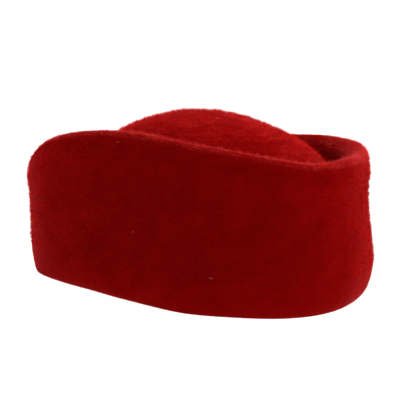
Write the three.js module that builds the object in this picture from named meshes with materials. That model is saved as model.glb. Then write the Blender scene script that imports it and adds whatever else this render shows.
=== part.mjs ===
// Wool cap: a domed crown with a tall brim turned straight up all round it, felted in one piece.
// Millimetres, +Z up. +X is the front end of the oval and the cap rests on z = 0.
// The whole cap is one closed sheet, worked out slice by slice around the oval.
import * as THREE from "three";

// Driving dimensions

const FELT = 3;
const SLICES = 72;

// The crown: an oval for a head of about 56 cm, with a straight wall and a dome above it
const CROWN = {
  halfLength: 103,
  halfWidth: 77,
  squareness: 2.2,
  forward: 4.5,
  wallTop: 50,
  height: 117,
  domeFullness: 1.9,
};

// The cuff: the brim turned up, standing off the crown
const CUFF = { halfLength: 125, halfWidth: 95.5, squareness: 2.27 };

// The edge of the cuff is turned in and felted down, so it thickens to a round lip
const LIP_RADIUS = 4.5;
const LIP_THICKENS_FROM = 0.45;

// The bottom roll on its inner side, where it turns up into the crown
const INNER_ROLL = { width: 8, height: 12 };

// One row for each eighth of the way round, from the front end towards the left side:
// rim     height of the cuff's top edge
// lean    how far the top edge stands outside the oval, or inside it if negative
// belly   how far the middle of the wall swells out, or draws in if negative
// rollIn  how far inside the oval the cap first touches what it rests on
// rollUp  height at which the bottom roll becomes the wall
const STATIONS = [
  { rim: 96.0, lean: -6.0, belly: -1.0, rollIn: 7.0, rollUp: 16.0 },
  { rim: 99.5, lean: -7.5, belly: -1.0, rollIn: 8.0, rollUp: 15.5 },
  { rim: 98.0, lean: -4.0, belly: -1.5, rollIn: 8.0, rollUp: 14.0 },
  { rim: 91.0, lean: -1.5, belly: -1.5, rollIn: 8.0, rollUp: 14.0 },
  { rim: 60.5, lean: 3.0, belly: -0.5, rollIn: 7.0, rollUp: 14.0 },
  { rim: 86.5, lean: 1.0, belly: -0.5, rollIn: 7.0, rollUp: 13.5 },
  { rim: 107.5, lean: -4.5, belly: -1.5, rollIn: 10.5, rollUp: 14.5 },
  { rim: 98.5, lean: -3.0, belly: -1.5, rollIn: 7.0, rollUp: 13.5 },
];

// How many bands of faces each stretch of a slice has
const BANDS = { dome: 11, crownWall: 3, roll: 4, wall: 6, lip: 6, innerDome: 9 };

const WOOL_RED = new THREE.MeshStandardMaterial({ color: 0x8f0f10, roughness: 0.95, metalness: 0 });

const QUARTER = Math.PI / 2;

// A smooth closed wave that meets each station's own value
function around(column, angle) {
  const count = STATIONS.length;
  let value = 0;
  STATIONS.forEach((station, index) => {
    const half = (angle - (index * 2 * Math.PI) / count) / 2;
    const here = Math.abs(Math.sin(half)) < 1e-9;
    const weight = here ? 1 : Math.sin(count * half) / (count * Math.tan(half));
    value += station[column] * weight;
  });
  return value;
}

// A point of an oval whose sides are a little fuller than an ellipse's
function ovalPoint(oval, angle) {
  const power = 2 / oval.squareness;
  const x = oval.halfLength * Math.sign(Math.cos(angle)) * Math.abs(Math.cos(angle)) ** power;
  const y = oval.halfWidth * Math.sign(Math.sin(angle)) * Math.abs(Math.sin(angle)) ** power;
  return new THREE.Vector2(x + (oval.forward ?? 0), y);
}

// The same point moved square to the oval, outwards if the distance is positive
function offsetPoint(oval, angle, distance, z) {
  const step = 0.002;
  const along = ovalPoint(oval, angle + step).sub(ovalPoint(oval, angle - step)).normalize();
  const point = ovalPoint(oval, angle).add(new THREE.Vector2(along.y, -along.x).multiplyScalar(distance));
  return new THREE.Vector3(point.x, point.y, z);
}

// Dome rows from just beside the top down to the wall, at the outer face or a felt's thickness inside it
function domeRows(angle, inside, bands) {
  const power = 2 / CROWN.domeFullness;
  const rows = [];
  for (let band = 1; band <= bands; band += 1) {
    const down = (QUARTER * band) / bands;
    const reach = Math.sin(down) ** power;
    const lift = Math.max(Math.cos(down), 0) ** power;
    const edge = offsetPoint(CROWN, angle, -inside, 0);
    const x = CROWN.forward + (edge.x - CROWN.forward) * reach;
    const z = CROWN.wallTop + (CROWN.height - inside - CROWN.wallTop) * lift;
    rows.push(new THREE.Vector3(x, edge.y * reach, z));
  }
  return rows;
}

// How thick the cuff is at a share of the way up its wall
function cuffThickness(share) {
  const rise = THREE.MathUtils.smoothstep(share, LIP_THICKENS_FROM, 1);
  return FELT + (2 * LIP_RADIUS - FELT) * rise;
}

// The cuff's outer face at a share of the way from the bottom roll to the lip
function cuffPoint(angle, share, inside) {
  const low = around("rollUp", angle);
  const high = around("rim", angle) - LIP_RADIUS;
  const ease = (share + share * share * (3 - 2 * share)) / 2;
  const out = around("lean", angle) * ease + around("belly", angle) * 4 * share * (1 - share);
  return offsetPoint(CUFF, angle, out - inside, low + (high - low) * share);
}

// One slice of the sheet, from the top of the crown out, under and back to the top of the hollow
function slice(angle) {
  const rows = domeRows(angle, 0, BANDS.dome);
  const rollIn = around("rollIn", angle);
  const rollUp = around("rollUp", angle);

  // Down the outside of the crown's wall
  for (let band = 1; band <= BANDS.crownWall; band += 1) {
    const z = THREE.MathUtils.lerp(CROWN.wallTop, INNER_ROLL.height, band / BANDS.crownWall);
    rows.push(offsetPoint(CROWN, angle, 0, z));
  }

  // Round the bottom of the gap between crown and cuff
  for (let band = 1; band <= BANDS.roll; band += 1) {
    const turn = (QUARTER * band) / BANDS.roll;
    const out = (INNER_ROLL.width - FELT) * (1 - Math.cos(turn));
    const z = INNER_ROLL.height - (INNER_ROLL.height - FELT) * Math.sin(turn);
    rows.push(offsetPoint(CROWN, angle, out, z));
  }
  for (let band = 0; band <= BANDS.roll; band += 1) {
    const turn = (QUARTER * band) / BANDS.roll;
    const out = -FELT - (rollIn - FELT) * (1 - Math.sin(turn));
    rows.push(offsetPoint(CUFF, angle, out, FELT + (rollUp - FELT) * (1 - Math.cos(turn))));
  }

  // Up the inside of the cuff, over the lip and down the outside
  for (let band = 1; band <= BANDS.wall; band += 1) {
    const share = band / BANDS.wall;
    rows.push(cuffPoint(angle, share, cuffThickness(share)));
  }
  const rimFoot = cuffPoint(angle, 1, LIP_RADIUS);
  for (let band = 1; band < BANDS.lip; band += 1) {
    const turn = Math.PI * (1 - band / BANDS.lip);
    const edge = cuffPoint(angle, 1, LIP_RADIUS * (1 - Math.cos(turn)));
    rows.push(edge.setZ(rimFoot.z + LIP_RADIUS * Math.sin(turn)));
  }
  for (let band = 0; band <= BANDS.wall; band += 1) {
    rows.push(cuffPoint(angle, 1 - band / BANDS.wall, 0));
  }

  // Under the bottom roll, with a flat ring to rest on, and up into the crown
  for (let band = 1; band <= BANDS.roll; band += 1) {
    const turn = (QUARTER * band) / BANDS.roll;
    rows.push(offsetPoint(CUFF, angle, -rollIn * (1 - Math.cos(turn)), rollUp * (1 - Math.sin(turn))));
  }
  for (let band = 0; band <= BANDS.roll; band += 1) {
    const turn = (QUARTER * band) / BANDS.roll;
    const out = INNER_ROLL.width * (1 - Math.sin(turn)) - FELT;
    rows.push(offsetPoint(CROWN, angle, out, INNER_ROLL.height * (1 - Math.cos(turn))));
  }

  // Up the inside of the crown
  for (let band = 1; band < BANDS.crownWall; band += 1) {
    const z = THREE.MathUtils.lerp(INNER_ROLL.height, CROWN.wallTop, band / BANDS.crownWall);
    rows.push(offsetPoint(CROWN, angle, -FELT, z));
  }
  rows.push(...domeRows(angle, FELT, BANDS.innerDome).reverse());
  return rows;
}

// Join the slices into one closed skin, with a point at the crown's top on each face
function feltSheet() {
  const slices = [];
  for (let index = 0; index < SLICES; index += 1) {
    slices.push(slice((2 * Math.PI * index) / SLICES));
  }
  const rowCount = slices[0].length;
  const points = slices.flat();
  const outerTop = points.push(new THREE.Vector3(CROWN.forward, 0, CROWN.height)) - 1;
  const innerTop = points.push(new THREE.Vector3(CROWN.forward, 0, CROWN.height - FELT)) - 1;

  const faces = [];
  for (let index = 0; index < SLICES; index += 1) {
    const here = index * rowCount;
    const next = ((index + 1) % SLICES) * rowCount;
    faces.push(outerTop, here, next);
    for (let row = 0; row + 1 < rowCount; row += 1) {
      faces.push(here + row, here + row + 1, next + row + 1);
      faces.push(here + row, next + row + 1, next + row);
    }
    faces.push(innerTop, next + rowCount - 1, here + rowCount - 1);
  }

  const geometry = new THREE.BufferGeometry();
  geometry.setAttribute("position", new THREE.Float32BufferAttribute(points.flatMap((p) => p.toArray()), 3));
  geometry.setIndex(faces);

  // Stand the origin under the middle of the outline
  geometry.computeBoundingBox();
  const middle = geometry.boundingBox.getCenter(new THREE.Vector3());
  geometry.translate(-middle.x, -middle.y, 0);
  return geometry;
}

const cap = new THREE.Group();
const feltCap = new THREE.Mesh(feltSheet(), WOOL_RED);
feltCap.name = "felt_cap";
cap.add(feltCap);

export default cap;
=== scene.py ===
# %% [markdown]
# # A red wool felt cap
# The real cap is one piece of boiled wool felt: a domed crown, a soft roll at the bottom and a tall brim
# that is turned straight up all round as a cuff. This lesson builds it as one closed sheet, dents it like
# soft felt, gives it a wool finish, and grows a short nap on it. Everything stays in the frame of the
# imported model, so lengths are metres, and sizes that a milliner would give in millimetres are multiplied by
# MM.

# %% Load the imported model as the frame
import math

import bpy
import numpy as np
from mathutils import Matrix, Vector
from mathutils.bvhtree import BVHTree


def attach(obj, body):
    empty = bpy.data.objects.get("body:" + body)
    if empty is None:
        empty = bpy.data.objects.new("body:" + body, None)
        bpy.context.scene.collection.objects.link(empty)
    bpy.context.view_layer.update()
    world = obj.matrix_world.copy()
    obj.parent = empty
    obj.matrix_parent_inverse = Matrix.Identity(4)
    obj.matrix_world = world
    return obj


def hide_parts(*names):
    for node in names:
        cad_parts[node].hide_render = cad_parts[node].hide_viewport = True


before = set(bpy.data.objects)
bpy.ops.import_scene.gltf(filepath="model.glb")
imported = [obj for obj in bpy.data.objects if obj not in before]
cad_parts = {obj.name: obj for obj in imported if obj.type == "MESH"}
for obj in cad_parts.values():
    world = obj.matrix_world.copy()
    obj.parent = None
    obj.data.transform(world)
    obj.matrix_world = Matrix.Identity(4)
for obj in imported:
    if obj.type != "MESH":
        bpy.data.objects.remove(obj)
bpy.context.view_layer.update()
MM = 0.001

# %% [markdown]
# ## The camera
# The photograph looks slightly down on the cap's long side, with the front end of the oval turned towards
# the lens on the right. A camera could be placed by eye, but here its view is stated as three angles and a
# distance from the point it is aimed at, so that each number can be read as a real one.

# %% Stand the camera at the photograph's angle
AIM = Vector((1.6, 0.9, 52.6)) * MM
VIEW_TURN = math.radians(29.86)
VIEW_DOWN = math.radians(10.97)
VIEW_ROLL = math.radians(2.23)
VIEW_DISTANCE = 611 * MM
PHOTO_SIDE = 400
FOCAL_IN_PIXELS = 856.5
SENSOR_WIDTH = 36

lens = bpy.data.cameras.new("photo_lens")
lens.sensor_width = SENSOR_WIDTH
lens.lens = FOCAL_IN_PIXELS / PHOTO_SIDE * SENSOR_WIDTH
camera = bpy.data.objects.new("photo_camera", lens)
bpy.context.scene.collection.objects.link(camera)
camera.matrix_world = (
    Matrix.Translation(AIM)
    @ Matrix.Rotation(VIEW_TURN, 4, "Z")
    @ Matrix.Rotation(math.pi / 2 - VIEW_DOWN, 4, "X")
    @ Matrix.Rotation(VIEW_ROLL, 4, "Z")
    @ Matrix.Translation((0, 0, VIEW_DISTANCE))
)
bpy.context.scene.camera = camera
print("lens", round(lens.lens, 1), "mm, camera at", [round(v, 3) for v in camera.matrix_world.translation])

# %% [markdown]
# ## The sheet of felt
# A milliner blocks such a cap over two ovals: the crown's and the cuff's. Both are a little fuller than an
# ellipse. The cuff's height and lean change round the oval, so they are listed once for every eighth of a
# turn, and a smooth closed wave runs through the eight rows. Sculpting the sheet would lose those sizes.
# They are the solid cap's own, in millimetres, but for what eight rows can't hold: small waves of the edge,
# a taller bottom roll and a lip that is softer inside.

# %% Sizes of the crown, the cuff and the lip
FELT = 3
CROWN = {"half_length": 103, "half_width": 77, "squareness": 2.2, "forward": 4.5}
WALL_TOP = 50
CROWN_HEIGHT = 117
DOME_FULLNESS = 1.9
CUFF = {"half_length": 125, "half_width": 95.5, "squareness": 2.27, "forward": 0}
LIP_RADIUS = 4.5
# The lip's inner curve is longer than its outer one, and it starts part of the way up the wall
LIP_DROP = 15
LIP_THICKENS_FROM = 0.35
# The lip's inner curve is wider at the front end: angle and spread in degrees, and how much in millimetres
LIP_WIDENS = (20, 38, 4.5)
INNER_ROLL_WIDTH = 8
INNER_ROLL_HEIGHT = 12

# %% Sizes that change round the cuff, one row for each eighth of a turn from the front end
STATION_COLUMNS = ("rim", "lean", "belly", "roll_in", "roll_up")
STATIONS = np.array([
    (96.0, -6.0, -1.5, 7.3, 22.0),
    (99.5, -7.5, -1.5, 8.5, 22.0),
    (98.0, -4.0, -1.5, 8.5, 22.0),
    (91.0, -1.5, -1.5, 8.5, 22.0),
    (60.5, 3.0, -0.5, 7.5, 18.0),
    (86.5, 1.0, -0.3, 6.5, 19.0),
    (107.5, -4.5, -1.5, 10.5, 22.0),
    (98.5, -3.0, -1.8, 7.2, 21.0),
])
# Small waves of the rim and of the bottom roll: angle and spread in degrees, and how far in millimetres
EDGE_WAVES = ((18, 12, -1.2), (58, 12, 1.0), (80, 8, -1.0), (238, 12, 1.3), (266, 13, 1.5), (350, 9, 2.6))
ROLL_WAVES = ((211, 8, 6.0), (227, 12, -4.5), (257, 10, 2.5), (287, 12, -4.5))
# The turned-in edge swells the wall a little below the lip: how far, and its middle and spread as shares
# of the wall's height
LIP_SWELL = 1.2
SWELL_AT = 0.86
SWELL_SPREAD = 0.09

# %% The ovals and the wave through the stations
SLICES = 320
ANGLES = np.arange(SLICES) * 2 * np.pi / SLICES
TINY = 1e-9


def wave(column):
    """A station column as a smooth closed wave, one value for each slice."""
    count = len(STATIONS)
    half = (ANGLES[:, None] - np.arange(count) * 2 * np.pi / count) / 2
    at_station = np.abs(np.sin(half)) < TINY
    safe_half = np.where(at_station, 1, half)
    weight = np.where(at_station, 1, np.sin(count * safe_half) / (count * np.tan(safe_half)))
    return weight @ STATIONS[:, STATION_COLUMNS.index(column)]


def oval(size, angle):
    """Points of an oval, as an array with x and y rows."""
    power = 2 / size["squareness"]
    x = size["half_length"] * np.sign(np.cos(angle)) * np.abs(np.cos(angle)) ** power + size["forward"]
    y = size["half_width"] * np.sign(np.sin(angle)) * np.abs(np.sin(angle)) ** power
    return np.array([x, y])


def ring(size, out, z):
    """One row of the sheet: the oval moved square to itself by out, at height z."""
    step = 0.002
    along = oval(size, ANGLES + step) - oval(size, ANGLES - step)
    along = along / np.hypot(*along)
    x, y = oval(size, ANGLES) + np.array([along[1], -along[0]]) * out
    return np.stack([x, y, z + np.zeros(SLICES)], axis=1)


# %% Values for every slice, with the small waves added
STATION = {column: wave(column) for column in STATION_COLUMNS}
STATION["lip_in"] = np.full(SLICES, float(LIP_RADIUS))
for column, waves in (("rim", EDGE_WAVES), ("roll_in", ROLL_WAVES), ("lip_in", [LIP_WIDENS])):
    for middle, spread, size in waves:
        apart = (np.degrees(ANGLES) - middle + 180) % 360 - 180
        STATION[column] += size * np.exp(-((apart / spread) ** 2))
print("rim height from", round(STATION["rim"].min(), 1), "to", round(STATION["rim"].max(), 1), "mm")

# %% [markdown]
# ## Rows from the crown's top to the top of the hollow
# A slice through the felt is one closed path, from the top of the crown down its outside, through the gap,
# up the cuff, over the lip, down to the surface that it rests on and back up inside the crown. Each stretch
# of that path is a short function that returns rows. Each row remembers its zone, so that the nap can later
# be grown more thickly where it shows. First come the crown and the bottom roll.

# %% Rows of the crown and the bottom roll
def dome_rows(inside, count):
    """Rows of the dome, from just beside its top down to the crown's wall."""
    power = 2 / DOME_FULLNESS
    edge = ring(CROWN, -inside, 0)
    rows = []
    for down in np.linspace(0, np.pi / 2, count + 1)[1:]:
        reach = np.sin(down) ** power
        lift = max(np.cos(down), 0) ** power
        row = edge * reach
        row[:, 0] += CROWN["forward"] * (1 - reach)
        row[:, 2] = WALL_TOP + (CROWN_HEIGHT - inside - WALL_TOP) * lift
        rows.append(row)
    return rows


def crown_wall_rows(inside, count):
    """Rows of the crown's straight wall, going down."""
    return [ring(CROWN, -inside, z) for z in np.linspace(WALL_TOP, INNER_ROLL_HEIGHT, count + 1)[1:]]


def crown_roll_rows(felt, count):
    """Rows of the bottom roll on the crown's side, from the wall down to the flat ring."""
    rows = []
    for turn in np.linspace(0, np.pi / 2, count + 1)[1:]:
        out = (INNER_ROLL_WIDTH - felt) * (1 - np.cos(turn)) + felt - FELT
        height = (INNER_ROLL_HEIGHT - felt) * (1 - np.sin(turn)) + felt
        rows.append(ring(CROWN, out, height))
    return rows


def cuff_roll_rows(felt, count):
    """Rows of the bottom roll on the cuff's side, from the flat ring up to the wall."""
    rows = []
    for turn in np.linspace(0, np.pi / 2, count + 1):
        out = -felt - (STATION["roll_in"] - felt) * (1 - np.sin(turn))
        rows.append(ring(CUFF, out, felt + (STATION["roll_up"] - felt) * (1 - np.cos(turn))))
    return rows


# %% [markdown]
# The cuff is the brim turned up. Its edge is turned in and felted down, so the wall thickens inwards to a
# soft round lip. Outside, the turned-in edge swells the wall a little just under the lip.

# %% Rows of the cuff and the lip
def cuff_row(share, inside):
    """The cuff's outer face, or a face inside it, at a share of the way up from the roll to the lip."""
    low = STATION["roll_up"]
    high = STATION["rim"] - LIP_RADIUS
    ease = (share + share * share * (3 - 2 * share)) / 2
    out = STATION["lean"] * ease + STATION["belly"] * 4 * share * (1 - share)
    out = out + LIP_SWELL * np.exp(-(((share - SWELL_AT) / SWELL_SPREAD) ** 2))
    return ring(CUFF, out - inside, low + (high - low) * share)


def inner_wall_rows(count):
    """Rows up the cuff's inner face. The felt thickens towards the foot of the lip's long inner curve."""
    top = 1 - (LIP_DROP - LIP_RADIUS) / (STATION["rim"] - LIP_RADIUS - STATION["roll_up"])
    widest = LIP_RADIUS + STATION["lip_in"]
    rows = []
    for part in np.linspace(0, 1, count + 1)[1:]:
        rise = max((part - LIP_THICKENS_FROM) / (1 - LIP_THICKENS_FROM), 0)
        rows.append(cuff_row(top * part, FELT + (widest - FELT) * rise * rise * (3 - 2 * rise)))
    return rows


def lip_rows(count):
    """Rows over the lip: up its long inner curve to the crest, and down its short outer one."""
    rows = []
    for turn in np.linspace(np.pi, 0, count + 1)[1:-1]:
        reach, drop = (STATION["lip_in"], LIP_DROP) if turn > np.pi / 2 else (LIP_RADIUS, LIP_RADIUS)
        row = cuff_row(1, LIP_RADIUS - reach * np.cos(turn))
        row[:, 2] += LIP_RADIUS - drop * (1 - np.sin(turn))
        rows.append(row)
    return rows


# %% Put the stretches in order, with the zone of each
ZONES = ("crown", "gap", "lip", "cuff", "underside", "hollow")
ROW_COUNTS = {
    "dome": 44, "crown_wall": 16, "gap_floor": 8, "inner_wall": 34, "lip": 20, "cuff": 41, "foot": 10,
    "hollow_wall": 14, "hollow_dome": 36,
}
# The first rows of the lip lie in the shade of the gap, so they take the gap's nap and not the lip's painted
# highlight
LIP_ROWS_IN_GAP = 3

over_lip = lip_rows(ROW_COUNTS["lip"])
stretches = [
    ("crown", dome_rows(0, ROW_COUNTS["dome"])),
    ("gap", crown_wall_rows(0, ROW_COUNTS["crown_wall"])),
    ("gap", crown_roll_rows(FELT, ROW_COUNTS["gap_floor"])),
    ("gap", cuff_roll_rows(FELT, ROW_COUNTS["gap_floor"])),
    ("gap", inner_wall_rows(ROW_COUNTS["inner_wall"])),
    ("gap", over_lip[:LIP_ROWS_IN_GAP]),
    ("lip", over_lip[LIP_ROWS_IN_GAP:]),
    ("cuff", [cuff_row(share, 0) for share in np.linspace(1, 0, ROW_COUNTS["cuff"])]),
    ("underside", cuff_roll_rows(0, ROW_COUNTS["foot"])[::-1][1:]),
    ("underside", crown_roll_rows(0, ROW_COUNTS["foot"])[::-1]),
    ("hollow", crown_wall_rows(FELT, ROW_COUNTS["hollow_wall"])[::-1]),
    ("hollow", dome_rows(FELT, ROW_COUNTS["hollow_dome"])[::-1]),
]
rows = [row for _, part in stretches for row in part]
row_zone = [ZONES.index(zone) for zone, part in stretches for _ in part]
print(len(rows), "rows of", SLICES, "points")

# %% [markdown]
# ## One closed skin
# Neighbouring rows and slices are joined by four-sided faces, and each pole by a fan of triangles, so no
# seam is left open. A Screw modifier would turn one profile all the way round, and here each slice has its
# own. The skin is about two millimetres a face, fine enough for the dents and lumps to be real shape.

# %% Join the rows into a mesh
def sheet_faces():
    """The faces of the closed sheet, and the zone of each. Its two poles are the last two points."""
    outer_top = len(rows) * SLICES
    inner_top = outer_top + 1
    faces = []
    zones = []
    for here in range(SLICES):
        beside = (here + 1) % SLICES
        faces.append((outer_top, here, beside))
        zones.append(row_zone[0])
        for row in range(len(rows) - 1):
            low, high = row * SLICES, (row + 1) * SLICES
            faces.append((low + here, high + here, high + beside, low + beside))
            zones.append(row_zone[row + 1])
        last = (len(rows) - 1) * SLICES
        faces.append((inner_top, last + beside, last + here))
        zones.append(row_zone[-1])
    return faces, zones


def sheet_mesh(name):
    """The rows as one mesh in metres, centred on its outline, with the zone kept on each face."""
    tops = [(CROWN["forward"], 0, CROWN_HEIGHT), (CROWN["forward"], 0, CROWN_HEIGHT - FELT)]
    points = np.concatenate([*rows, tops])
    middle = (points.min(axis=0) + points.max(axis=0)) / 2
    points = points - [middle[0], middle[1], 0]
    faces, zones = sheet_faces()
    mesh = bpy.data.meshes.new(name)
    mesh.from_pydata((points * MM).tolist(), [], faces)
    mesh.attributes.new("zone", "INT", "FACE").data.foreach_set("value", zones)
    mesh.shade_smooth()
    return mesh


felt = bpy.data.objects.new("felt_sheet", sheet_mesh("felt_sheet"))
bpy.context.scene.collection.objects.link(felt)
print("sheet:", len(felt.data.polygons), "faces")

# %% [markdown]
# ## Helpers for node trees
# The dents, the finish and the nap are all node trees. Nodes could be laid out by hand, but a tree that is
# built here can be read and built again. A few helpers keep each tree short: one adds a node and feeds its
# inputs in a single call, two do sums, and two open a Geometry Nodes tree with named inputs and run it.

# %% Add a node, and do sums with nodes
def feed(tree, socket, value):
    """Set a node's input to a value, or join it to another node's output."""
    if isinstance(value, bpy.types.NodeSocket):
        tree.links.new(value, socket)
    else:
        socket.default_value = value


def add_node(tree, kind, feeds=(), **settings):
    """A new node with its settings made and its inputs fed."""
    node = tree.nodes.new(kind)
    for name, value in settings.items():
        setattr(node, name, value)
    for key, value in dict(feeds).items():
        feed(tree, node.inputs[key], value)
    return node


def calculate(tree, operation, *values):
    """The output of a Math node."""
    return add_node(tree, "ShaderNodeMath", enumerate(values), operation=operation).outputs[0]


def calculate_vector(tree, operation, feeds):
    """The output of a Vector Math node."""
    return add_node(tree, "ShaderNodeVectorMath", feeds, operation=operation).outputs[0]


def seeded_noise(tree, place, size, seed, detail):
    """A noise node whose patches are about one size across, and different for each seed."""
    feeds = {"Vector": place, "W": seed, "Detail": detail, "Scale": calculate(tree, "DIVIDE", 1.0, size)}
    return add_node(tree, "ShaderNodeTexNoise", feeds, noise_dimensions="4D")


# %% Open a Geometry Nodes tree, and run it on a piece
SOCKET_KINDS = {float: "NodeSocketFloat", int: "NodeSocketInt"}


def open_tree(name, sizes):
    """A Geometry Nodes tree with a geometry in and out and one named input for each size."""
    tree = bpy.data.node_groups.new(name, "GeometryNodeTree")
    tree.interface.new_socket("Geometry", in_out="INPUT", socket_type="NodeSocketGeometry")
    for label, value in sizes.items():
        kind = SOCKET_KINDS.get(type(value), value)
        socket = tree.interface.new_socket(label, in_out="INPUT", socket_type=kind)
        if kind != value:
            socket.default_value = value
    tree.interface.new_socket("Geometry", in_out="OUTPUT", socket_type="NodeSocketGeometry")
    return tree, tree.nodes.new("NodeGroupInput").outputs


def run_tree(piece, tree, values=()):
    """The piece's mesh after the tree, made plain. Inputs are set by identifier before it is evaluated."""
    modifier = piece.modifiers.new(tree.name, "NODES")
    modifier.node_group = tree
    for item in tree.interface.items_tree:
        if item.in_out == "INPUT" and item.name in dict(values):
            modifier[item.identifier] = dict(values)[item.name]
    bpy.context.view_layer.update()
    evaluated = piece.evaluated_get(bpy.context.evaluated_depsgraph_get())
    mesh = bpy.data.meshes.new_from_object(evaluated)
    piece.modifiers.remove(modifier)
    return mesh


# %% [markdown]
# ## Dents and lumps
# Felt that was blocked and worn is never quite even: broad shallow dents run through the whole sheet, and
# its surface has small lumps where the wool lies thicker. Sculpting would do, but a noise through Geometry
# Nodes can be repeated. The dents move both faces together, so the sheet keeps its thickness. Dents and
# lumps fade out near the ring that the cap rests on, so that it stays flat on the table.

# %% A tree that dents the sheet
def dent_tree():
    """Geometry Nodes that move points by broad dents, then along their normals by small lumps."""
    tree, given = open_tree("felt_dents", {
        "Dent Size": 60 * MM, "Dent Depth": 1.6 * MM, "Lump Size": 7 * MM, "Lump Depth": 0.7 * MM,
        "Set Back": 0.5 * MM, "Still Below": 3 * MM, "Free Above": 25 * MM, "Seed": 11.0,
    })
    place = add_node(tree, "GeometryNodeInputPosition").outputs[0]
    height = add_node(tree, "ShaderNodeSeparateXYZ", {0: place}).outputs["Z"]
    fade = add_node(
        tree, "ShaderNodeMapRange",
        {"Value": height, "From Min": given["Still Below"], "From Max": given["Free Above"]},
        interpolation_type="SMOOTHSTEP",
    ).outputs["Result"]

    broad = seeded_noise(tree, place, given["Dent Size"], given["Seed"], 1.0).outputs["Color"]
    centred = calculate_vector(tree, "SUBTRACT", {0: broad, 1: (0.5, 0.5, 0.5)})
    reach = calculate(tree, "MULTIPLY", fade, given["Dent Depth"])
    dent = calculate_vector(tree, "SCALE", {0: centred, "Scale": calculate(tree, "MULTIPLY", reach, 2.0)})
    dented = add_node(tree, "GeometryNodeSetPosition", {"Geometry": given["Geometry"], "Offset": dent})

    small = seeded_noise(tree, place, given["Lump Size"], given["Seed"], 2.0).outputs[0]
    rise = calculate(tree, "MULTIPLY", calculate(tree, "SUBTRACT", small, 0.5), given["Lump Depth"])
    rise = calculate(tree, "SUBTRACT", rise, given["Set Back"])
    out = add_node(tree, "GeometryNodeInputNormal").outputs[0]
    lump = calculate_vector(tree, "SCALE", {0: out, "Scale": calculate(tree, "MULTIPLY", rise, fade)})
    lumpy = add_node(tree, "GeometryNodeSetPosition", {"Geometry": dented.outputs[0], "Offset": lump})
    add_node(tree, "NodeGroupOutput", {"Geometry": lumpy.outputs[0]})
    return tree


felt.data = run_tree(felt, dent_tree())
lowest = min(vertex.co.z for vertex in felt.data.vertices)
print("dented sheet:", len(felt.data.vertices), "points, lowest", round(lowest / MM, 3), "mm")

# %% [markdown]
# ## The finish of the felt
# Boiled wool is matt, with a soft sheen at glancing angles, because its loose fibres catch light from the
# side. The dye takes unevenly: broad clouds, faint streaks along the way it was rubbed, and single fibres
# that are lighter or darker. A picture of wool would be tied to one mapping, so those are three noises on
# Object coordinates, mixed into the base colour, with finer ones for the bump. The crown was brushed more,
# so it has stronger strokes. Sheen and roughness are the same all over, so they are set on the shader
# itself.

# %% How the dye is spread
CLOUD_SIZE = 16 * MM
STREAK_SIZE = 7 * MM
FIBRE_SIZE = 1.3 * MM
# A scale for each axis draws the streaks out the way that the wool was rubbed
CUFF_RUB = (0.4, 0.4, 1.6)
CROWN_RUB = (0.5, 0.5, 2.8)


def noise(tree, vector, size, detail=2.0):
    """A noise whose patches are about one size across, in metres."""
    feeds = {"Vector": vector, "Scale": 1 / size, "Detail": detail}
    return add_node(tree, "ShaderNodeTexNoise", feeds).outputs[0]


def rubbed_noise(tree, place, rub):
    """A noise that is drawn out into streaks."""
    rubbed = add_node(tree, "ShaderNodeMapping", {"Vector": place, "Scale": rub}).outputs[0]
    return noise(tree, rubbed, STREAK_SIZE)


def dye_spread(tree, place, rub, shares, crown_strokes):
    """How light the dye is at each place: shares of clouds, streaks and fibres, and strokes on the crown."""
    spread = calculate(tree, "MULTIPLY", noise(tree, place, CLOUD_SIZE, 3.0), shares[0])
    spread = calculate(tree, "MULTIPLY_ADD", rubbed_noise(tree, place, rub), shares[1], spread)
    spread = calculate(tree, "MULTIPLY_ADD", noise(tree, place, FIBRE_SIZE), shares[2], spread)
    if crown_strokes:
        zone = add_node(tree, "ShaderNodeAttribute", attribute_name="zone").outputs["Fac"]
        on_crown = calculate(tree, "LESS_THAN", zone, ZONES.index("crown") + 0.5)
        strokes = calculate(tree, "SUBTRACT", rubbed_noise(tree, place, CROWN_RUB), 0.5)
        strokes = calculate(tree, "MULTIPLY", strokes, on_crown)
        spread = calculate(tree, "MULTIPLY_ADD", strokes, crown_strokes, spread)
    return spread


# %% The wool material
MATT = {"Roughness": 0.95, "Specular IOR Level": 0.0}
WOOL_SHEEN = {"Sheen Roughness": 0.3, "Sheen Tint": (1.0, 0.12, 0.125, 1)}


def bumpy(tree, place, bumps):
    """The surface normal after each bump in turn, given as pairs of a size and a height in metres."""
    normal = None
    for size, height in bumps:
        feeds = {"Height": noise(tree, place, size), "Distance": height, "Strength": 1.0}
        if normal:
            feeds["Normal"] = normal
        normal = add_node(tree, "ShaderNodeBump", feeds).outputs[0]
    return normal


def wool_material(name, dyes, sheen, bumps=(), rub=CUFF_RUB, shares=(0.5, 0.28, 0.22), ends=(0.34, 0.68),
                  crown_strokes=0.0):
    """Matt wool. Its three dyes run from dark to light between two ends of the dye's spread."""
    material = bpy.data.materials.new(name)
    material.use_nodes = True
    tree = material.node_tree
    shader = tree.nodes["Principled BSDF"]
    place = add_node(tree, "ShaderNodeTexCoord").outputs["Object"]
    dye = add_node(tree, "ShaderNodeValToRGB", {"Fac": dye_spread(tree, place, rub, shares, crown_strokes)})
    ramp = dye.color_ramp.elements
    ramp[0].position, ramp[0].color = ends[0], dyes[0]
    ramp[1].position, ramp[1].color = ends[1], dyes[2]
    ramp.new(0.5).color = dyes[1]
    tree.links.new(dye.outputs[0], shader.inputs["Base Color"])
    if bumps:
        tree.links.new(bumpy(tree, place, bumps), shader.inputs["Normal"])
    for label, value in {**MATT, **WOOL_SHEEN, "Sheen Weight": sheen}.items():
        shader.inputs[label].default_value = value
    return material


# %% The felt's own finish
FELT_DYES = ((0.15, 0.0004, 0.0004, 1), (0.18, 0.0006, 0.0006, 1), (0.21, 0.0010, 0.0010, 1))
FELT_BUMPS = ((3.5 * MM, 0.5 * MM), (0.9 * MM, 0.35 * MM))

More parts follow.
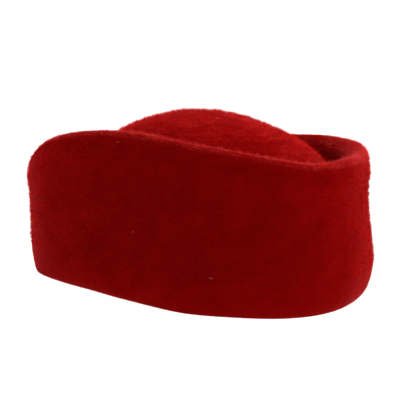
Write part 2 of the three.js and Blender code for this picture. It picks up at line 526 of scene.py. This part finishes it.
felt_wool = wool_material("felt_wool", FELT_DYES, sheen=0.42, bumps=FELT_BUMPS, crown_strokes=0.8)
felt.data.materials.clear()
felt.data.materials.append(felt_wool)
print("material:", felt_wool.name, "with", len(felt_wool.node_tree.nodes), "nodes")

# %% [markdown]
# ## The nap
# Loose wool ends stand off the felt, a millimetre or two long, and give it its soft outline. Hair curves
# would not reach the exported model, so each end is a small closed spike with three sides, and Geometry
# Nodes scatter copies of it over the sheet. Most ends lean over, because wool lies down more than it stands
# up. Here and there a few ends cling together in a thicker tuft, and the tufts make the outline uneven.

# %% A wool end and a tuft, one unit long
END_ROOT = -0.06
END_POINTS = 4


def wool_end(name, thickness):
    """A closed spike with three sides. It grows along +Z, with its root a little below the origin."""
    turns = [2 * math.pi * corner / 3 for corner in range(3)]
    half = thickness / 2
    root = [(half * math.cos(turn), half * math.sin(turn), END_ROOT) for turn in turns]
    mesh = bpy.data.meshes.new(name)
    mesh.from_pydata([*root, (0, 0, 1)], [], [(2, 1, 0), (0, 1, 3), (1, 2, 3), (2, 0, 3)])
    return bpy.data.objects.new(name, mesh)


ENDS = {"end": wool_end("wool_end", 0.06), "tuft": wool_end("wool_tuft", 0.2)}
print("wool ends:", [(name, len(end.data.polygons), "faces") for name, end in ENDS.items()])

# %% [markdown]
# The tree that grows the nap has four parts: where the ends stand, how each is turned, how long it is, and
# a last step that keeps them out of the table. Each part is a function that adds its few nodes.

# %% Where the wool ends stand
def live(sockets):
    """The sockets that a node uses with its present settings."""
    return [socket for socket in sockets if socket.enabled]


def points_on_zone(tree, given):
    """A node that scatters points over the wanted zone of the sheet."""
    zone = add_node(tree, "GeometryNodeInputNamedAttribute", {"Name": "zone"}, data_type="INT")
    wanted = add_node(tree, "FunctionNodeCompare", data_type="INT", operation="EQUAL")
    found, choice = [socket for socket in wanted.inputs if socket.type == "INT"]
    feed(tree, found, live(zone.outputs)[0])
    feed(tree, choice, given["Zone"])
    feeds = {"Mesh": given["Geometry"], "Selection": wanted.outputs[0],
             "Density": given["Ends per m2"], "Seed": given["Seed"]}
    return add_node(tree, "GeometryNodeDistributePointsOnFaces", feeds, distribute_method="RANDOM")


# %% How each wool end is turned, and how long it is
LEAN_DRAW = 101.0
TURN_DRAW = 202.0
LENGTH_DRAW = 303.0
# Nearly all of a noise lies between these two values
NOISE_LOW = 0.3
NOISE_HIGH = 0.7


def chance(tree, seed, draw, low, high):
    """A random number for each wool end, between two values. Each draw has a number of its own."""
    feeds = {"Seed": calculate(tree, "ADD", seed, draw)}
    node = add_node(tree, "FunctionNodeRandomValue", feeds, data_type="FLOAT")
    least, most = live(node.inputs)[:2]
    feed(tree, least, low)
    feed(tree, most, high)
    return live(node.outputs)[0]


def end_turn(tree, given, upright):
    """The rotation of each wool end: leaning over from the upright, towards any side."""
    turn = add_node(tree, "ShaderNodeCombineXYZ", {
        "X": chance(tree, given["Seed"], LEAN_DRAW, given["Least Lean"], given["Most Lean"]),
        "Z": chance(tree, given["Seed"], TURN_DRAW, 0.0, 2 * math.pi),
    })
    lean = add_node(tree, "FunctionNodeEulerToRotation", {"Euler": turn.outputs[0]})
    feeds = {"Rotation": upright, "Rotate By": lean.outputs[0]}
    return add_node(tree, "FunctionNodeRotateRotation", feeds, rotation_space="LOCAL").outputs[0]


def end_length(tree, given):
    """The length of each wool end. In some patches all of them are longer than in others."""
    place = add_node(tree, "GeometryNodeInputPosition").outputs[0]
    feeds = {"Vector": place, "Detail": 1.0, "Scale": calculate(tree, "DIVIDE", 1.0, given["Patch Size"])}
    share = add_node(tree, "ShaderNodeMapRange", {
        "Value": add_node(tree, "ShaderNodeTexNoise", feeds).outputs[0],
        "From Min": NOISE_LOW, "From Max": NOISE_HIGH,
        "To Min": given["Patch Least"], "To Max": given["Patch Most"],
    }).outputs["Result"]
    drawn = chance(tree, given["Seed"], LENGTH_DRAW, given["Shortest"], given["Longest"])
    return calculate(tree, "MULTIPLY", drawn, share)


# %% The whole tree that grows a nap
TABLE_CLEARANCE = 0.05 * MM


def above_table(tree, geometry):
    """The geometry, with any point that would reach into the table lifted just clear of it."""
    place = add_node(tree, "GeometryNodeInputPosition").outputs[0]
    parts = add_node(tree, "ShaderNodeSeparateXYZ", {0: place}).outputs
    height = calculate(tree, "MAXIMUM", parts["Z"], TABLE_CLEARANCE)
    lifted = add_node(tree, "ShaderNodeCombineXYZ", {"X": parts["X"], "Y": parts["Y"], "Z": height})
    feeds = {"Geometry": geometry, "Position": lifted.outputs[0]}
    return add_node(tree, "GeometryNodeSetPosition", feeds).outputs[0]


def nap_tree():
    """Geometry Nodes that grow wool ends on one zone of the sheet."""
    tree, given = open_tree("wool_nap", {
        "End": "NodeSocketObject", "Finish": "NodeSocketMaterial", "Zone": 0, "Ends per m2": 1.0e5,
        "Shortest": 1.0 * MM, "Longest": 2.0 * MM, "Least Lean": 0.2, "Most Lean": 1.25, "Seed": 1,
        "Patch Size": 2.5 * MM, "Patch Least": 0.4, "Patch Most": 1.7,
    })
    points = points_on_zone(tree, given).outputs
    copies = add_node(tree, "GeometryNodeInstanceOnPoints", {
        "Points": points["Points"],
        "Instance": add_node(tree, "GeometryNodeObjectInfo", {"Object": given["End"]}).outputs["Geometry"],
        "Rotation": end_turn(tree, given, points["Rotation"]),
        "Scale": end_length(tree, given),
    })
    real = add_node(tree, "GeometryNodeRealizeInstances", {"Geometry": copies.outputs[0]})
    feeds = {"Geometry": above_table(tree, real.outputs[0]), "Material": given["Finish"]}
    coloured = add_node(tree, "GeometryNodeSetMaterial", feeds)
    add_node(tree, "NodeGroupOutput", {"Geometry": coloured.outputs[0]})
    return tree


# %% [markdown]
# Thin wool ends let light through, so their finishes are lighter than the felt's and scatter light inside.
# The lip's ends are dyed the palest, a painted highlight along the rim's crest. The crown's ends are a little
# paler than the cuff's, partly a painted highlight for the dome that the top panel lights. The tufts on the
# cuff are dyed nearly as dark as the felt, a painted shade that keeps their lit sides dark against the wall
# that faces the lens.

# %% The finishes of the wool ends
NAP_DYES = ((0.26, 0.0012, 0.0012, 1), (0.305, 0.0022, 0.0021, 1), (0.38, 0.005, 0.0046, 1))
# Partly painted highlight: the crown's ends are dyed a little paler than the cuff's, for the dome that the
# top panel lights; their stronger streaks are the wool's own
CROWN_DYES = ((0.20, 0.0012, 0.0012, 1), (0.345, 0.0042, 0.0040, 1), (0.50, 0.013, 0.0125, 1))
# Painted shade: the tufts on the cuff are dyed nearly as dark as the felt, so their lit sides stay dark
# against the wall that faces the lens
CUFF_TUFT_SHADE_DYES = ((0.185, 0.0008, 0.0008, 1), (0.215, 0.0014, 0.0014, 1), (0.25, 0.0028, 0.0026, 1))
# Painted highlight: the lip's ends are dyed the palest, to brighten the rim's crest
LIP_HIGHLIGHT_DYES = ((0.36, 0.006, 0.006, 1), (0.42, 0.012, 0.012, 1), (0.50, 0.025, 0.025, 1))
SEE_THROUGH = {"Subsurface Weight": 0.7, "Subsurface Radius": (1.0, 0.2, 0.18), "Subsurface Scale": 0.4 * MM}

FINISHES = {
    "nap_wool": wool_material("nap_wool", NAP_DYES, sheen=0.15),
    "crown_wool": wool_material(
        "crown_wool", CROWN_DYES, sheen=0.2, rub=CROWN_RUB, shares=(0.2, 0.6, 0.2), ends=(0.38, 0.63)
    ),
    "tuft_wool": wool_material("tuft_wool", CUFF_TUFT_SHADE_DYES, sheen=0.15),
    "edge_wool": wool_material("edge_wool", LIP_HIGHLIGHT_DYES, sheen=0.5),
}
for finish in FINISHES.values():
    for label, value in SEE_THROUGH.items():
        finish.node_tree.nodes["Principled BSDF"].inputs[label].default_value = value
print("finishes of the wool ends:", sorted(FINISHES))

# %% The naps, each on its own zone
# density is wool ends on each square millimetre, shortest and longest are millimetres, and leans are radians
NAP_COLUMNS = ("name", "grown", "finish", "zone", "density", "shortest", "longest", "least", "most", "seed")
NAPS = (
    ("crown_nap", "end", "crown_wool", "crown", 1.0, 1.0, 2.4, 0.1, 1.1, 21),
    ("crown_tufts", "tuft", "crown_wool", "crown", 0.22, 1.2, 2.0, 0.0, 0.45, 45),
    ("cuff_lying_nap", "end", "nap_wool", "cuff", 0.70, 0.9, 1.9, 0.6, 1.3, 32),
    ("cuff_standing_nap", "end", "nap_wool", "cuff", 0.60, 0.9, 1.9, 0.0, 0.8, 43),
    ("cuff_tufts", "tuft", "tuft_wool", "cuff", 0.26, 1.1, 2.0, 0.0, 0.35, 44),
    ("lip_nap", "end", "edge_wool", "lip", 2.6, 0.8, 2.0, 0.1, 1.2, 54),
    ("gap_nap", "end", "nap_wool", "gap", 0.26, 1.0, 2.2, 0.2, 1.25, 65),
    ("underside_nap", "end", "nap_wool", "underside", 0.8, 0.7, 1.6, 0.2, 1.25, 76),
    ("hollow_nap", "end", "nap_wool", "hollow", 0.17, 0.9, 2.0, 0.2, 1.25, 87),
)
PER_SQUARE_METRE = 1e6
NAP_TREE = nap_tree()


def grow_nap(nap):
    """One nap as an object of its own, with a plain mesh."""
    mesh = run_tree(felt, NAP_TREE, {
        "End": ENDS[nap["grown"]], "Finish": FINISHES[nap["finish"]], "Zone": ZONES.index(nap["zone"]),
        "Seed": nap["seed"], "Ends per m2": nap["density"] * PER_SQUARE_METRE,
        "Shortest": nap["shortest"] * MM, "Longest": nap["longest"] * MM,
        "Least Lean": nap["least"], "Most Lean": nap["most"],
    })
    mesh.name = nap["name"]
    piece = bpy.data.objects.new(nap["name"], mesh)
    bpy.context.scene.collection.objects.link(piece)
    return piece


naps = [grow_nap(dict(zip(NAP_COLUMNS, row))) for row in NAPS]
for piece in naps:
    print(piece.name, "has", len(piece.data.vertices) // END_POINTS, "wool ends")

# %% [markdown]
# ## Lint
# A few single fibres of a paler wool are caught in the nap. They could be painted into the felt's colour,
# but a real fibre lies proud and bows a little, so each is a thin closed tube along a short arc. A ray from
# outside finds the place on the dented felt, so that a fibre lies on the real surface and not beside it.

# %% A thin tube along a path
TIP_SHARE = 0.3


def tube(path, radius, sides):
    """A closed tube along a path that thins to both ends: its points and its faces."""
    last = len(path) - 1
    points = []
    for index, point in enumerate(path):
        ahead = path[min(index + 1, last)] - path[max(index - 1, 0)]
        across = ahead.orthogonal().normalized()
        wide = radius * (TIP_SHARE + (1 - TIP_SHARE) * math.sin(math.pi * index / last))
        for side in range(sides):
            points.append(point + Matrix.Rotation(2 * math.pi * side / sides, 3, ahead) @ across * wide)
    faces = []
    for low in range(0, last * sides, sides):
        for side in range(sides):
            beside = (side + 1) % sides
            faces.append((low + side, low + beside, low + sides + beside, low + sides + side))
    faces.append(tuple(reversed(range(sides))))
    faces.append(tuple(range(len(points) - sides, len(points))))
    return points, faces


# %% Lay single pale fibres on the felt
# angle round the cap in degrees, height and length in millimetres, turn on the surface in degrees
LINT = (
    (266.5, 101.6, 2.8, 28),
    (275.3, 47.5, 1.9, 105),
    (305.4, 25.7, 2.6, -8),
    (322.8, 113.4, 3.4, 5),
)
LINT_RADIUS = 0.14 * MM
LINT_SIDES = 5
LINT_STEPS = 6
# A fibre's ends lie lower in the nap than its middle
LINT_LIFT = 0.8 * MM
LINT_END_SHARE = 0.4
LINT_DYES = ((0.42, 0.13, 0.12, 1), (0.50, 0.18, 0.16, 1), (0.60, 0.26, 0.24, 1))
OUTSIDE = 200 * MM

surface = BVHTree.FromPolygons([v.co for v in felt.data.vertices], [f.vertices for f in felt.data.polygons])


def lint_path(angle, height, length, turn):
    """The middle line of one fibre, a shallow arc over the felt."""
    out = Vector((math.cos(math.radians(angle)), math.sin(math.radians(angle)), 0))
    place, normal, _, _ = surface.ray_cast(out * OUTSIDE + Vector((0, 0, height * MM)), -out)
    along = Matrix.Rotation(math.radians(turn), 3, normal) @ Vector((0, 0, 1)).cross(normal).normalized()
    path = []
    for step in range(LINT_STEPS + 1):
        share = step / LINT_STEPS
        lift = LINT_END_SHARE + (1 - LINT_END_SHARE) * math.sin(math.pi * share)
        path.append(place + along * (share - 0.5) * length * MM + normal * LINT_LIFT * lift)
    return path


def lint_piece():
    """All the fibres as one object."""
    points = []
    faces = []
    for row in LINT:
        fibre_points, fibre_faces = tube(lint_path(*row), LINT_RADIUS, LINT_SIDES)
        faces += [tuple(corner + len(points) for corner in face) for face in fibre_faces]
        points += fibre_points
    mesh = bpy.data.meshes.new("lint")
    mesh.from_pydata(points, [], faces)
    mesh.materials.append(wool_material("lint_wool", LINT_DYES, sheen=0.4))
    piece = bpy.data.objects.new("lint", mesh)
    bpy.context.scene.collection.objects.link(piece)
    return piece


lint = lint_piece()
print("lint:", len(LINT), "fibres,", len(lint.data.polygons), "faces")

# %% [markdown]
# ## The table
# The photograph was taken on white, in a soft tent of light: bright from above, from both sides and from
# the white table, and dark only where the camera stands. So the dome and the edges are bright, and the wall
# that faces the lens is the darkest part. The table comes first. It could be left out of a white picture,
# but it lights the cap from below, so it is a plain pale sheet that glows a little.

# %% A pale table that glows a little
TABLE_HALF_SIDE = 8.0
TABLE_DROP = 0.1 * MM
TABLE_WHITE = {
    "Base Color": (0.3, 0.3, 0.3, 1), "Roughness": 1.0, "Specular IOR Level": 0.0,
    "Emission Color": (1, 1, 1, 1), "Emission Strength": 1.05,
}


def table_sheet():
    """A flat square just under the cap, with a matt white finish."""
    mesh = bpy.data.meshes.new("floor")
    sides = ((-1, -1), (1, -1), (1, 1), (-1, 1))
    corners = [(x * TABLE_HALF_SIDE, y * TABLE_HALF_SIDE, -TABLE_DROP) for x, y in sides]
    mesh.from_pydata(corners, [], [(0, 1, 2, 3)])
    white = bpy.data.materials.new("table_white")
    white.use_nodes = True
    for label, value in TABLE_WHITE.items():
        white.node_tree.nodes["Principled BSDF"].inputs[label].default_value = value
    mesh.materials.append(white)
    sheet = bpy.data.objects.new("floor", mesh)
    bpy.context.scene.collection.objects.link(sheet)
    return sheet


floor = table_sheet()
print("table:", 2 * TABLE_HALF_SIDE, "m wide")

# %% [markdown]
# ## The tent of light
# The tent's cloth glows on the far side of the cap and to its right, and fades to nearly nothing round the
# lens. Many lamps could copy that, but it depends on direction alone, so the world does it with one smooth
# ramp. The lens itself sees plain white behind the cap.

# %% A world that is bright beyond the cap and dark on the lens's side
TENT_TURN = math.radians(25)
TENT_DARK = 0.03
TENT_BRIGHT = 1.1
# Where the ramp starts and ends: 1 is the brightest direction, 0 is square to it
TENT_FADE = (-0.1, 0.6)

right_hand = camera.matrix_world.to_3x3() @ Vector((1, 0, 0))
away = Vector((-math.sin(VIEW_TURN), math.cos(VIEW_TURN), 0))
bright_side = away * math.cos(TENT_TURN) + right_hand * math.sin(TENT_TURN)

world = bpy.data.worlds.new("white_tent")
world.use_nodes = True
bpy.context.scene.world = world
sky = world.node_tree
heading = add_node(sky, "ShaderNodeTexCoord").outputs["Generated"]
towards = add_node(
    sky, "ShaderNodeVectorMath", {0: heading, 1: bright_side}, operation="DOT_PRODUCT"
).outputs["Value"]
tent = add_node(
    sky, "ShaderNodeMapRange",
    {"Value": towards, "From Min": TENT_FADE[0], "From Max": TENT_FADE[1],
     "To Min": TENT_DARK, "To Max": TENT_BRIGHT},
    interpolation_type="SMOOTHSTEP",
).outputs["Result"]
seen = add_node(sky, "ShaderNodeLightPath").outputs["Is Camera Ray"]
backdrop = sky.nodes["Background"]
backdrop.inputs["Color"].default_value = (1, 1, 1, 1)
sky.links.new(calculate(sky, "MAXIMUM", seen, tent), backdrop.inputs["Strength"])
print("tent: from", TENT_DARK, "to", TENT_BRIGHT)

# %% [markdown]
# ## Soft panels
# A strong panel above makes the dome and the rim's crest the brightest, one on each side picks out the ends
# of the cap, and weaker ones keep the near wall and the gap from going black. Small lamps would throw hard
# shadows, so every panel is large, and it is placed by the view: so far to the right and so far beyond the
# cap.

# %% Panels round the cap
CAP_MIDDLE = Vector((0, 0, 60 * MM))
# name, metres to the right of the view, metres beyond the cap, height, side, watts
PANELS = (
    ("top_panel", -0.1, 0.25, 1.3, 1.2, 19),
    ("high_left_panel", -0.7, 0.6, 1.1, 0.8, 4.5),
    ("right_panel", 1.1, 0.3, 0.5, 0.8, 9),
    ("low_left_panel", -1.0, 0.5, 0.3, 0.6, 3),
    ("front_panel", 0.0, -0.7, 1.4, 1.0, 2.5),
    ("front_right_panel", 0.8, -0.7, 0.7, 0.8, 4),
)


def soft_panel(name, place, side, power):
    """A square lamp that faces the middle of the cap."""
    lamp = bpy.data.lights.new(name, "AREA")
    lamp.size = side
    lamp.energy = power
    panel = bpy.data.objects.new(name, lamp)
    panel.location = place
    panel.rotation_euler = (CAP_MIDDLE - place).to_track_quat("-Z", "Y").to_euler()
    bpy.context.scene.collection.objects.link(panel)


for name, right, beyond, height, side, power in PANELS:
    soft_panel(name, right_hand * right + away * beyond + Vector((0, 0, height)), side, power)
bpy.context.scene.view_settings.view_transform = "Standard"
print(len(PANELS), "panels of light")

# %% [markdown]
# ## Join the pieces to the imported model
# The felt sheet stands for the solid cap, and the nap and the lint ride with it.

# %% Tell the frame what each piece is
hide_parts("felt_cap")
for piece in [felt, *naps, lint]:
    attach(piece, "root")
